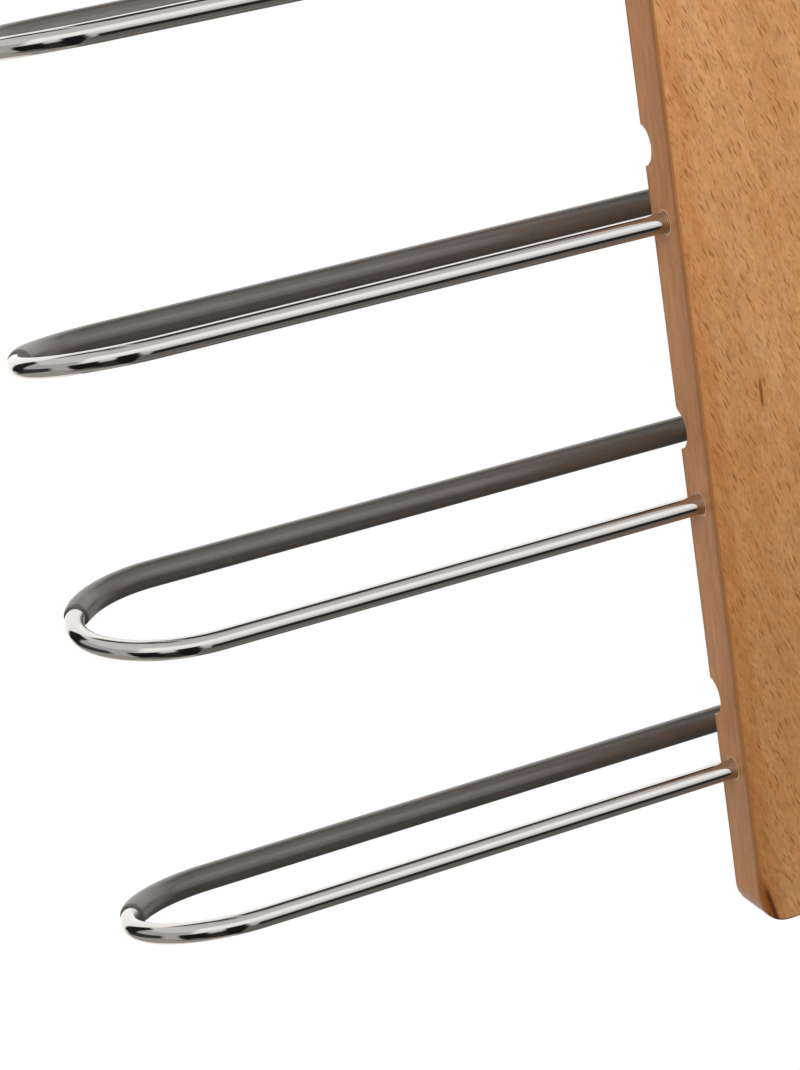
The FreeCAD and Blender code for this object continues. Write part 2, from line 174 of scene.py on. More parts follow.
# Ray flecks: cell along X, Y and Z, widest ray as a share of its cell, and strength
FLECK_LAYERS = (
    ((1.6 * MM, 1.0, 11.0 * MM), 0.26, 0.90),
    ((1.2 * MM, 1.0, 7.5 * MM), 0.25, 0.80),
    ((0.8 * MM, 1.0, 3.8 * MM), 0.27, 0.60),
)
FLECK_POINT = 1.25
NARROWEST_FLECK = 0.45
FLECK_CORE = 0.5
FAINTEST_FLECK = 0.15
FAINT_FLECKS = 0.7
# Radii between which the painted highlight round a pivot hole's mouth fades, and its strength
RIM_HIGHLIGHT = (*mm(4.2, 3.5), 0.0, 0.60)
# Growth streak on the front: its middle, and half width, half length and strength of its zones
STREAK_X, STREAK_Z = mm(-10.5, -254.9)
STREAK_ZONES = ((*mm(2.4, 10.0), 0.16), (*mm(0.65, 5.6), 0.95))
STREAK_CORE = 0.25
# Burnt arris: its upper end, from the board's left side and lower end, and its lean inwards
SCORCH_IN, SCORCH_UP = mm(0.9, 16.5)
SCORCH_LEAN = 0.2256
# Its brown band and black core: colour, shift, half widths, drop under the upper end, and strength
SCORCH_BANDS = (
    ("streak", 0.8 * MM, mm(2.4, 0.8), mm(-4.0, 4.0), 0.88),
    ("scorch", 0.0, mm(1.15, 0.1), mm(2.5, 6.5), 0.85),
)

# Painted shade on the chrome under the rods at the board, for the dim reflection of the shadowed wood
# there: colour, reach, drop under the axis, height and strength
CHROME_PAINTED_SHADE = (0.10, 0.085, 0.075)
CHROME_SHADE_REACH = 5.0 * MM
CHROME_SHADE_DROP = 2.4 * MM
CHROME_SHADE_HEIGHT = mm(3.2, 1.0)
CHROME_SHADE_STRENGTH = 0.40
# Factors on the other colours where they are polished, mottled, drawn and turned
POLISHED = 0.97
MOTTLED = (0.9, 1.08)
DRAWN = 0.7
TURNED = 0.85

FLOOR_SIZE = 6.0
# Radii up to which the floor takes the shadow and from which it is plain white
FLOOR_PATCH = (0.12, 0.42)
LAMP_SIZES = {"key": 0.8, "fill": 0.9, "back": 1.0, "right": 0.9}
WHITE = (1.0, 1.0, 1.0, 1.0)
STUDIO_TINT = (1.0, 0.98, 0.96, 1.0)
TABLE_TINT = (1.0, 0.93, 0.86, 1.0)
# Elevations in degrees between which the studio changes, with its shades there
WALL_SHADES = (-25.0, 32.0, 0.45, 1.04)
TABLE_BORDER = (-18.0, -36.0)
AMBIENT_RISE = (-35.0, 45.0)
AMBIENT_BELOW = 0.2
# What polished metal sees: name, azimuth from the front to the left and right and elevation to the lower
# and upper border in degrees, softness of the border, and shade
REFLECTED_PANELS = (
    ("ceiling", -190, 190, 46, 95, 18, 0.58),
    ("left_ceiling", -160, -66, 24, 52, 14, 0.64),
    ("left_wall", -140, -66, -30, 26, 12, 0.42),
    ("left_floor", -165, -84, -95, -28, 8, 0.34),
    ("left_skirting", -150, -95, -25, 0, 8, 0.04),
    ("back_wall", -190, -158, -60, 37, 8, 0.96),
    ("back_wall_right", 157, 190, -40, 15, 6, 0.98),
    ("back_ceiling", 116, 170, 42, 74, 8, 0.04),
    ("back_ceiling_left", -190, -157, 40, 80, 6, 0.05),
    ("left_table", -90, -58, -95, -44, 10, 0.13),
    ("front_table", -62, -5, -95, -15, 7, 0.03),
    ("table", -6, 165, -95, -33, 6, 0.14),
    ("left_flag", -76, -45, -48, 1, 5, 0.01),
    ("camera_flag", -30, -8, -95, 8, 6, 0.01),
    ("front_flag", 3, 70, -42, -13, 4, 0.02),
    ("back_flag", -157, -134, -14, 31, 4, 0.015),
)


def length(name, about, millimetres):
    metres = millimetres * MM
    return FloatProperty(
        name=name, description=about, default=metres, unit="LENGTH", subtype="DISTANCE", precision=5
    )


def angle(name, about, degrees):
    radians = math.radians(degrees)
    return FloatProperty(name=name, description=about, default=radians, unit="ROTATION", subtype="ANGLE")


def share(name, about, default):
    return FloatProperty(name=name, description=about, default=default, min=0, max=1, subtype="FACTOR")


def watts(name, about, default):
    return FloatProperty(name=name, description=about, default=default, unit="POWER")


def colour(name, about, default):
    return FloatVectorProperty(
        name=name, description=about, default=default, min=0, max=1, size=3, subtype="COLOR"
    )


def place(name, about, default):
    return FloatVectorProperty(
        name=name, description=about, default=default, size=3, unit="LENGTH", subtype="XYZ"
    )


class HangerSizes(bpy.types.PropertyGroup):
    """Sizes of the pieces; the overall ones come from the frame."""

    rod_diameter: length("Rod", "Diameter of the bars' rod", 6.0)
    loop_width: length("Loop width", "From a bar's front leg to its back leg", 64.0)
    raised_angle: angle("Raised angle", "Angle above the level at which a bar's travel ends", 40)
    fold_angle: angle("Fold angle", "Angle under the level at which a sleeve lies in its groove", 83.5)
    rod_end_round: length("Rod end round", "Rounding of the rod's two cut ends", 0.5)
    sleeve_diameter: length("Sleeve", "Outer diameter of the grip sleeves", 8.2)
    sleeve_bore: length("Sleeve bore", "Inner diameter of the grip sleeves", 6.1)
    sleeve_end_angle: angle("Sleeve end angle", "How far past a tip's middle a sleeve begins", 26)
    sleeve_end_wall: length("Sleeve end wall", "Wall of a sleeve at its cut ends", 0.6)
    sleeve_taper: length("Sleeve taper", "Length over which a sleeve thins towards its ends", 7.0)
    sleeve_end_round: length("Sleeve end round", "Rounding of the sleeve's cut ends", 0.25)
    pivot_hole: length("Pivot hole", "Diameter of the holes that the rods turn in", 6.1)
    pivot_depth: length("Pivot depth", "Depth of the pivot holes", 14.0)
    pivot_chamfer: length("Pivot chamfer", "Broken edge at the mouth of a pivot hole", 0.2)
    board_corner: length("Board corner", "Radius of the board's four corners", 9.0)
    board_arris: length("Board arris", "Rounding of the edges round the front face", 1.2)
    board_back_arris: length("Back arris", "Rounding of the edges round the back face", 1.6)
    groove_clearance: length("Groove clearance", "Room round a folded sleeve in its groove", 0.4)
    groove_upper_lips: FloatVectorProperty(
        name="Grooves, upper lips",
        description="Rounding of the grooves' upper edges, from the top groove down",
        default=mm(1.6, 6.0, 2.0),
        size=3,
        unit="LENGTH",
    )
    groove_lower_lip: length("Groove, lower lip", "Rounding of a groove's lower edge", 0.6)
    swivel_hole: length("Swivel hole", "Diameter of the hole in the board's top end", 10.0)
    swivel_depth: length("Swivel depth", "Depth of the hole in the board's top end", 22.0)
    hook_bend: length("Hook bend", "Radius of the reverse bend under the crook", 12.0)
    hook_tip_drop: length("Hook tip drop", "How far the tip reaches under the crook's centre", 4.0)
    hook_tip_round: length("Hook tip round", "Rounding of the hook's tip", 2.3)
    clip_groove: length("Clip groove", "Depth of the groove in the shank", 0.6)
    ferrule_rim: length("Ferrule rim", "Height of the ferrule's straight rim", 1.2)
    ferrule_lip: length("Ferrule lip", "Width of the ferrule's flat top", 1.4)
    ferrule_web: length("Ferrule web", "Height of the counterbore over the bush", 2.0)
    ferrule_bore: length("Ferrule bore", "Diameter of the ferrule's upper hole", 5.6)
    ferrule_round: length("Ferrule round", "Rounding of the ferrule's edges", 0.35)


class HangerFinishes(bpy.types.PropertyGroup):
    """Colours and gloss of the finishes, and the lean of the wood's flecks."""

    beech_light: colour("Beech, light", "Pale bands of the board", (0.580, 0.300, 0.126))
    beech_dark: colour("Beech, dark", "Brown bands of the board", (0.510, 0.250, 0.098))
    beech_edge: colour("Beech, edge", "Wood of the board's narrow faces", (0.430, 0.184, 0.065))
    beech_end: colour("Beech, end grain", "Wood on the board's two ends", (0.27, 0.105, 0.036))
    # Painted shade: dark colour on the edge faces beside the arrises, where their rounding shows dark
    # reflections
    beech_arris: colour("Beech, arris", "Worn edges along the board's sides", (0.215, 0.082, 0.014))
    beech_fleck: colour("Beech, flecks", "Short dark rays in the wood", (0.285, 0.106, 0.030))
    # Painted highlight: the pale colour of the ring round each pivot hole's mouth
    beech_rim: colour("Beech, hole rims", "Broken wood round the pivot holes", (0.62, 0.42, 0.27))
    beech_streak: colour("Beech, streak", "Growth streak on the front face", (0.22, 0.063, 0.008))
    beech_scorch: colour("Beech, scorch", "Burn on the lower left corner", (0.050, 0.014, 0.003))
    fleck_lean: angle("Fleck lean", "How far the flecks lean from the board's length", 20)
    grip: colour("Grip", "Sleeves' plastic", (0.066, 0.058, 0.050))
    chrome: colour("Chrome", "Plating of the bars, hook and ferrule", (0.635, 0.624, 0.613))
    turned_brass: colour("Brass", "Bush of the swivel", (0.78, 0.57, 0.26))
    turned_brass_roughness: share("Brass roughness", "Roughness of the bush", 0.28)
    dark_spring_steel: colour("Spring steel", "Retaining clip", (0.34, 0.33, 0.32))
    dark_spring_steel_roughness: share("Spring steel roughness", "Roughness of the clip", 0.38)


class HangerStage(bpy.types.PropertyGroup):
    """Camera, lamps and floor."""

    camera_place: place("Camera place", "Where the camera stands", (-0.37558, -0.71867, -0.01720))
    camera_aim: place("Camera aim", "Point in the middle of the picture", (-0.12344, 0.0, -0.27078))
    camera_roll: angle("Camera roll", "How far the camera leans to its right", 9.13)
    camera_lens: FloatProperty(name="Lens", description="Focal length", default=96.1, unit="CAMERA")
    key_place: place("Key place", "Large lamp above the front", (-0.30, -0.70, 0.42))
    key_power: watts("Key power", "Light of that lamp", 12.5)
    fill_place: place("Fill place", "Lamp at the left", (-1.25, -0.30, -0.45))
    fill_power: watts("Fill power", "Light of that lamp", 7.6)
    back_place: place("Back place", "Lamp behind", (0.5, 1.2, 0.4))
    back_power: watts("Back power", "Light of that lamp", 13.0)
    right_place: place("Right place", "Lamp at the right, level with the board", (1.25, 0.35, -0.1))
    right_power: watts("Right power", "Light of that lamp", 6.0)
    panel_power: FloatProperty(
        name="Panel power", description="Brightness of the studio seen in the chrome", default=1.27, min=0
    )
    ambient: share("Ambient", "Even light from above and the sides", 0.30)
    floor_drop: length("Floor drop", "From the board's lower end to the floor", 330.0)
    floor: colour("Floor", "Pale floor under the hanger", (0.86, 0.86, 0.86))


def solid(rgb, factor=1.0):
    """Opaque colour, darker or lighter by a factor."""
    return (*(factor * part for part in rgb), 1.0)


class Finish:
    """A material's node tree, with short calls that add a node and feed its sockets."""

    def __init__(self, name, tree=None):
        if tree is None:
            self.material = bpy.data.materials.new(name)
            self.material.use_nodes = True
            tree = self.material.node_tree
            tree.nodes.clear()
        self.tree = tree

    def add(self, kind, inputs=None, **settings):
        node = self.tree.nodes.new("ShaderNode" + kind)
        for name, value in settings.items():
            setattr(node, name, value)
        for socket, value in (inputs or {}).items():
            self.feed(node.inputs[socket], value)
        return node

    def feed(self, socket, value):
        if isinstance(value, bpy.types.NodeSocket):
            self.tree.links.new(value, socket)
        else:
            socket.default_value = value

    def object_place(self):
        return self.add("TexCoord").outputs["Object"]

    def axes(self, vector):
        return self.add("SeparateXYZ", {"Vector": vector}).outputs

    def cells(self, vector, cell, turn):
        """Place in a pattern whose cell has that size, after the pattern is turned."""
        sockets = {"Vector": vector, "Rotation": turn, "Scale": cell}
        return self.add("Mapping", sockets, vector_type="TEXTURE").outputs["Vector"]

    def noise(self, vector, pattern, turn=(0, 0, 0)):
        cell, detail, roughness, _ = pattern
        spot = self.cells(vector, cell, turn)
        sockets = {"Vector": spot, "Scale": 1.0, "Detail": detail, "Roughness": roughness}
        return self.add("TexNoise", sockets).outputs["Fac"]

    def tone(self, noise, pattern):
        """What a pattern's noise turns into."""
        return self.step(noise, *pattern[-1])

    def grain(self, vector, pattern, turn=(0, 0, 0)):
        return self.tone(self.noise(vector, pattern, turn), pattern)

    def math(self, operation, *values):
        return self.add("Math", dict(enumerate(values)), operation=operation).outputs["Value"]

    def minus(self, first, second):
        return self.math("SUBTRACT", first, second)

    def product(self, first, *others):
        for other in others:
            first = self.math("MULTIPLY", first, other)
        return first

    def square_sum(self, first, second):
        return self.math("ADD", self.math("POWER", first, 2.0), self.math("POWER", second, 2.0))

    def step(self, value, start, end, low=0.0, high=1.0):
        """Smooth change from low to high as the value goes from start to end."""
        sockets = {"Value": value, "From Min": start, "From Max": end, "To Min": low, "To Max": high}
        return self.add("MapRange", sockets, interpolation_type="SMOOTHSTEP").outputs["Result"]

    def between(self, value, low, high, soft):
        """1 between two values and 0 outside, with soft borders."""
        rise = self.step(value, low - soft / 2, low + soft / 2)
        fall = self.step(value, high + soft / 2, high - soft / 2)
        return self.product(rise, fall)

    def mix(self, factor, first, second, blend="MIX"):
        node = self.add("Mix", data_type="RGBA", blend_type=blend, clamp_factor=True)
        factor_socket, first_socket, second_socket = node.inputs[0], node.inputs[6], node.inputs[7]
        self.feed(factor_socket, factor)
        self.feed(first_socket, first)
        self.feed(second_socket, second)
        return node.outputs[2]

    def tint(self, factor, body, rgb):
        return self.mix(factor, body, solid(rgb), "MULTIPLY")

    def shade(self, body, tone):
        """Colour made darker or lighter by a tone round 1."""
        grey = self.add("CombineColor", {0: tone, 1: tone, 2: tone}).outputs[0]
        return self.mix(1.0, body, grey, "MULTIPLY")

    def bump(self, height, distance):
        sockets = {"Height": height, "Distance": distance, "Strength": 1.0}
        return self.add("Bump", sockets).outputs["Normal"]

    def seen(self):
        """1 for what the camera sees, directly or through glass."""
        rays = self.add("LightPath").outputs
        return self.math("MAXIMUM", rays["Is Camera Ray"], rays["Is Transmission Ray"])

    def surface(self, **sockets):
        """Principled shader on the material's output; a socket's name has _ for its spaces."""
        named = {name.replace("_", " "): value for name, value in sockets.items()}
        shader = self.add("BsdfPrincipled", named)
        self.add("OutputMaterial", {"Surface": shader.outputs["BSDF"]})
        return self.material


class Beech(Finish):
    """Steamed beech: lengthwise bands, fine fibres, leaning ray flecks and marks, with painted shade along
    its arrises.
    """

    def __init__(self, name, colours):
        super().__init__(name)
        self.colours = colours
        self.lean = (0, -colours.fleck_lean, 0)
        self.spot = self.object_place()
        self.x, self.y, self.z = self.axes(self.spot)[:]

        from_bottom = self.minus(self.z, BOARD_LOW.z)
        from_top = self.minus(BOARD_HIGH.z, self.z)
        self.from_end = self.math("MINIMUM", from_bottom, from_top)
        self.from_side = self.minus(HALF_WIDTH, self.math("ABSOLUTE", self.x))
        self.under_face = self.minus(HALF_DEPTH, self.math("ABSOLUTE", self.y))
        self.wide_face = self.step(self.under_face, *WIDE_FACE)

        drift = self.math("MULTIPLY_ADD", self.noise(self.spot, WANDER), GRAIN_DRIFT, -GRAIN_DRIFT / 2)
        moved = {"X": self.math("ADD", self.x, drift), "Y": self.math("ADD", self.y, drift), "Z": self.z}
        self.strayed = self.add("CombineXYZ", moved).outputs["Vector"]
        self.streaks = self.noise(self.strayed, STREAKS)
        self.fibres = self.noise(self.spot, FIBRES)

    def wood(self, name):
        return solid(getattr(self.colours, "beech_" + name))

    def finish(self):
        narrow_face = self.product(self.step(self.from_side, *NARROW_FACE), self.minus(1.0, self.wide_face))
        face = self.shade(self.face(), self.step(self.under_face, *GROOVE_WALL))
        body = self.mix(narrow_face, face, self.edge())
        body = self.shade(body, self.tone(self.fibres, FIBRES))
        body = self.arris_painted_shade(body)
        flecks = self.flecks()
        body = self.mix(flecks, body, self.wood("fleck"))
        for mark in (self.hole_rim_highlights, self.growth_streak, self.end_grain, self.scorch):
            body = mark(body)
        return self.surface(
            Base_Color=body,
            Roughness=self.step(self.streaks, *WOOD_ROUGHNESS),
            Specular_IOR_Level=0.4,
            Coat_Weight=0.2,
            Coat_Roughness=0.3,
            Normal=self.bump(self.minus(self.fibres, flecks), 0.03 * MM),
        )

    def face(self):
        """Flat-cut wood: soft bands, painted shade towards the bottom, darker at the left, a drifting hue
        and a fine figure.
        """
        bands = self.noise(self.spot, BANDS)
        body = self.mix(self.tone(bands, BANDS), self.wood("dark"), self.wood("light"))
        # Painted shade towards the bottom of the board
        body = self.tint(self.step(self.z, BOARD_HIGH.z, BOARD_LOW.z), body, LOWER_PAINTED_SHADE)
        from_left = self.math("ADD", self.x, HALF_WIDTH)
        strip_width = self.math("MULTIPLY_ADD", bands, STRIP_GAIN, STRIP_LEAST)
        past_strip = self.minus(from_left, strip_width)
        body = self.tint(self.step(past_strip, STRIP_BORDER, -STRIP_BORDER), body, STRIP_TINT)
        hue = self.grain(self.strayed, HUE, self.lean)
        body = self.mix(1.0, body, self.mix(hue, solid(ORANGE_TINT), solid(PALE_TINT)), "MULTIPLY")
        body = self.shade(body, self.grain(self.strayed, FIGURE, self.lean))
        return self.shade(body, self.grain(self.spot, CLOUDS, self.lean))

    def edge(self):
        """Quarter-cut wood of the narrow faces: streaked lengthwise and a little paler towards the back."""
        body = self.shade(self.wood("edge"), self.grain(self.strayed, SOFT_STREAKS))
        body = self.shade(body, self.tone(self.streaks, STREAKS))
        return self.shade(body, self.step(self.y, HALF_DEPTH, -HALF_DEPTH, *EDGE_TONES))

    def arris_painted_shade(self, body):
        # Painted shade: dark edge faces beside the arrises for their dark reflections, and darker brinks
        # over the front arris's highlight
        arris = self.product(
            self.step(self.under_face, *ARRIS_INSIDE),
            self.step(self.under_face, *ARRIS_OUTSIDE),
            self.step(self.from_side, *ARRIS_SIDE),
            ARRIS_STRENGTH,
        )
        body = self.mix(arris, body, self.wood("arris"))
        brink = self.product(self.step(self.from_side, *BRINK), self.wide_face)
        return self.tint(brink, body, BRINK_PAINTED_SHADE)

    def flecks(self):
        """Where the wide faces show a ray, from 0 to 1."""
        flecks = 0.0
        for layer in FLECK_LAYERS:
            flecks = self.math("MAXIMUM", flecks, self.rays(*layer))
        return self.product(flecks, self.wide_face)

    def rays(self, cell, widest, strength):
        """One layer of short, pointed, leaning rays of chance width and darkness."""
        flat = self.axes(self.cells(self.strayed, cell, self.lean))
        sheet = self.add("CombineXYZ", {"X": flat["X"], "Y": flat["Z"]}).outputs["Vector"]
        points = self.add(
            "TexVoronoi",
            {"Vector": sheet, "Scale": 1.0, "Randomness": 1.0, "Exponent": FLECK_POINT},
            voronoi_dimensions="2D",
            distance="MINKOWSKI",
        )
        chance = self.add("SeparateColor", {"Color": points.outputs["Color"]}).outputs
        reach = self.step(chance[1], 0.0, 1.0, NARROWEST_FLECK * widest, widest)
        ray = self.step(self.math("DIVIDE", points.outputs["Distance"], reach), 1.0, FLECK_CORE)
        darkness = self.step(chance[0], 0.0, FAINT_FLECKS, FAINTEST_FLECK, strength)
        return self.product(ray, darkness)

    def hole_rim_highlights(self, body):
        # Painted highlight: a pale ring round each pivot hole's mouth
        for tier in TIERS:
            height = self.minus(self.z, pivot_height(tier))
            radius = self.math("SQRT", self.square_sum(self.y, height))
            body = self.mix(self.step(radius, *RIM_HIGHLIGHT), body, self.wood("rim"))
        return body

    def growth_streak(self, body):
        """Short dark streak on the front face, in a faint halo."""
        front = self.step(self.y, 0.0, -HALF_DEPTH)
        for half_width, half_length, strength in STREAK_ZONES:
            sideways = self.math("DIVIDE", self.minus(self.x, STREAK_X), half_width)
            lengthways = self.math("DIVIDE", self.minus(self.z, STREAK_Z), half_length)
            zone = self.step(self.square_sum(sideways, lengthways), 1.0, STREAK_CORE)
            body = self.mix(self.product(zone, front, strength), body, self.wood("streak"))
        return body

    def end_grain(self, body):
        pores = self.grain(self.spot, PORES)
        cut_across = self.product(self.step(self.from_end, *END_FACE), self.step(self.under_face, *END_RIM))
        return self.mix(cut_across, body, self.shade(self.wood("end"), pores))

    def scorch(self, body):
        """Sanding burn on the front arris at the lower left corner, brown with a black core."""
        drop = self.minus(BOARD_LOW.z + SCORCH_UP, self.z)
        aside = self.minus(self.x, BOARD_LOW.x + SCORCH_IN)
        aside = self.minus(aside, self.product(drop, SCORCH_LEAN))
        on_arris = self.step(self.math("ADD", self.y, HALF_DEPTH), *SCORCH_DEPTH)
        for name, shift, half_widths, drops, strength in SCORCH_BANDS:
            band = self.step(self.math("ABSOLUTE", self.math("ADD", aside, shift)), *half_widths)
            burn = self.product(band, on_arris, self.step(drop, *drops, 0.0, strength))
            body = self.mix(burn, body, self.wood(name))
        return body


def beech_finish(name, colours):
    return Beech(name, colours).finish()


def chrome_finish(name, colours):
    """Bright plating, rippled from bending, finely polished, with painted shade under the rods at the
    board.
    """
    plating = Finish(name)
    spot = plating.object_place()
    x, _, z = plating.axes(spot)[:]
    ripple = plating.noise(spot, RIPPLE)
    polish = plating.noise(spot, POLISH)
    body = plating.mix(polish, solid(colours.chrome, POLISHED), solid(colours.chrome))
    # Painted shade: darker plating under each rod where it enters the board, standing in for the shadowed
    # wood that the rod reflects there
    outward = plating.math("ABSOLUTE", x)
    shade_at_board = plating.step(outward, HALF_WIDTH + CHROME_SHADE_REACH, HALF_WIDTH, 0.0, CHROME_SHADE_STRENGTH)
    for tier in TIERS:
        height = plating.minus(z, pivot_height(tier) - CHROME_SHADE_DROP)
        under_rod = plating.step(plating.math("ABSOLUTE", height), *CHROME_SHADE_HEIGHT)
        body = plating.mix(plating.product(shade_at_board, under_rod), body, solid(CHROME_PAINTED_SHADE))
    return plating.surface(
        Base_Color=body,
        Metallic=1.0,
        Roughness=plating.tone(polish, POLISH),
        Normal=plating.bump(ripple, 0.05 * MM),
    )


def grip_finish(name, colours):
    """Smooth satin plastic tube, faintly mottled and drawn along its length."""
    plastic = Finish(name)
    spot = plastic.object_place()
    mottle = plastic.grain(spot, MOTTLE)
    drawn = plastic.grain(spot, DRAWN_LINES)
    skin = plastic.noise(spot, SKIN)
    darker, lighter = (solid(colours.grip, factor) for factor in MOTTLED)
    body = plastic.mix(mottle, darker, lighter)
    body = plastic.mix(drawn, body, solid(colours.grip, DRAWN))
    return plastic.surface(
        Base_Color=body,
        IOR=1.8,
        Roughness=plastic.tone(skin, SKIN),
        Normal=plastic.bump(skin, 0.006 * MM),
    )


def turned_metal_finish(name, colours):
    """Metal with fine turning marks round the upright axis."""
    rgb, roughness = getattr(colours, name), getattr(colours, name + "_roughness")
    metal = Finish(name)
    marks = metal.noise(metal.object_place(), TURNING_MARKS)
    smooth, rough = roughness - TURNED_ROUGHNESS, roughness + TURNED_ROUGHNESS
    return metal.surface(
        Base_Color=metal.mix(marks, solid(rgb, TURNED), solid(rgb)),
        Metallic=1.0,
        Roughness=metal.step(marks, *TURNED_RANGE, smooth, rough),
        Normal=metal.bump(marks, 0.01 * MM),
    )


FINISHES = {
    "oiled_beech": beech_finish,
    "bright_chrome": chrome_finish,
    "satin_grip": grip_finish,
    "turned_brass": turned_metal_finish,
    "dark_spring_steel": turned_metal_finish,
}


def set_finish(mesh, name):
    """Give a mesh the finish of that name, made when the first piece asks for it."""
    made = bpy.data.materials.get(name)
    mesh.materials.clear()
    mesh.materials.append(made or FINISHES[name](name, bpy.context.scene.hanger_finishes))


def only(kind, items):
    return [item for item in items if isinstance(item, kind)]


def ring(bm, radius, centre, turn):
    """Open circle of edges at a place, turned from the level plane."""
    matrix = Matrix.Translation(centre) @ turn
    made = bmesh.ops.create_circle(bm, segments=RING_SIDES, radius=radius, matrix=matrix)
    return list({edge for vert in made["verts"] for edge in vert.link_edges})


def ring_verts(edges):
    return list({vert for edge in edges for vert in edge.verts})


def draw_out(bm, edges, offset):
    """Extrude a ring by an offset and return its far end."""
    made = bmesh.ops.extrude_edge_only(bm, edges=edges)["geom"]
    bmesh.ops.translate(bm, verts=only(BMVert, made), vec=offset)
    return [edge for edge in only(BMEdge, made) if len(edge.link_faces) == 1]


def step_in(bm, edges, centre, factor):
    """Extrude a ring in its own plane, scaled about its centre, and return the new ring."""
    far = draw_out(bm, edges, (0, 0, 0))
    about_centre = Matrix.Translation(-Vector(centre))
    bmesh.ops.scale(bm, vec=(factor,) * 3, space=about_centre, verts=ring_verts(far))
    return far


def bend(bm, edges, centre, axis, turn, steps=BEND_STEPS):
    """Spin a ring round an axis and return its far end."""
    geom = ring_verts(edges) + edges
    made = bmesh.ops.spin(bm, geom=geom, cent=centre, axis=axis, angle=turn, steps=steps)
    return only(BMEdge, made["geom_last"])


def cap(bm, ends):
    for edges in ends:
        bmesh.ops.holes_fill(bm, edges=edges, sides=0)


def round_edges(bm, edges, radius, segments):
    bmesh.ops.bevel(
        bm,
        geom=edges,
        offset=radius,
        offset_type="OFFSET",
        segments=segments,
        profile=0.5,
        affect="EDGES",
        clamp_overlap=True,
        material=-1,
    )


def close_end(bm, edges, rounding, segments):
    """Cap an open ring and round the cap's rim."""
    cap(bm, (edges,))
    round_edges(bm, edges, rounding, segments)


def mesh_from(bm, name):
    """Finished mesh with outward faces, smooth but for its sharp edges."""
    bmesh.ops.remove_doubles(bm, verts=bm.verts, dist=MERGE_DISTANCE)
    bmesh.ops.recalc_face_normals(bm, faces=bm.faces)
    mesh = bpy.data.meshes.new(name)
    bm.to_mesh(mesh)
    bm.free()
    smooth(mesh)
    return mesh


def smooth(mesh):
    mesh.shade_smooth()
    mesh.set_sharp_from_angle(angle=SHARP_ANGLE)


def add_object(name, data):
    item = bpy.data.objects.new(name, data)
    bpy.context.scene.collection.objects.link(item)
    return item


def add_piece(name, mesh, finish, body, node):
    """Object that shows a mesh in place of a frame node and rides on that node's body."""
    piece = add_object(name, mesh)
    set_finish(mesh, finish)
    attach(piece, body)
    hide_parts(node)
    flat_faces = piece.modifiers.new("flat_faces", "WEIGHTED_NORMAL")
    flat_faces.keep_sharp = True


def pivot_height(tier):
    return JOINTS["bar_%d_fold" % tier]["pos_m"][2]


def hang_on_pivot(bm, tier, sizes):
    """Turn a bar or sleeve, drawn level round the X axis, to its rest angle and lift it to its pivot."""
    travel_left = math.radians(JOINTS["bar_%d_fold" % tier]["range_deg"][1])
    turn = Matrix.Rotation(sizes.raised_angle - travel_left, 4, "X")
    bmesh.ops.transform(bm, matrix=turn, verts=bm.verts)
    sideways = sum(bar_ends(tier)) / 2
    bmesh.ops.translate(bm, verts=bm.verts, vec=(sideways, 0, pivot_height(tier)))


def bar_ends(tier):
    low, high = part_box("trouser_bar_%d" % tier)
    return low.x, high.x


def bar_bend_x(sizes):
    """From a bar's middle to the start of its bends."""
    low, high = bar_ends(1)
    return (high - low) / 2 - sizes.rod_diameter / 2 - sizes.loop_width / 2


def widest_arris(sizes):
    return max(sizes.board_arris, sizes.board_back_arris)


def board_mesh(sizes):
    """The board before its cuts: corners rounded, and every sharp edge weighted for its arris."""
    bm = bmesh.new()
    bmesh.ops.create_cube(bm, size=1.0)
    bmesh.ops.scale(bm, vec=BOARD_HIGH - BOARD_LOW, verts=bm.verts)
    bmesh.ops.translate(bm, vec=(BOARD_HIGH + BOARD_LOW) / 2, verts=bm.verts)
    corners = [edge for edge in bm.edges if abs(sum(vert.co.y for vert in edge.verts)) < HALF_DEPTH]
    round_edges(bm, corners, sizes.board_corner, CORNER_STEPS)
    weights = bm.edges.layers.float.new("bevel_weight_edge")
    for edge in bm.edges:
        if edge.calc_face_angle(0) > ARRIS_ANGLE:
            behind = all(vert.co.y > 0 for vert in edge.verts)
            rounding = sizes.board_back_arris if behind else sizes.board_arris
            edge[weights] = rounding / widest_arris(sizes)
    mesh = bpy.data.meshes.new("board_blank")
    bm.to_mesh(mesh)
    bm.free()
    return mesh


def sweep_vert(bm, vert, centre, axis, turn, steps):
    """Arc of edges from a vertex round an axis; returns the vertex at its far end."""
    made = bmesh.ops.spin(bm, geom=[vert], cent=centre, axis=axis, angle=turn, steps=steps)
    return only(BMVert, made["geom_last"])[0]


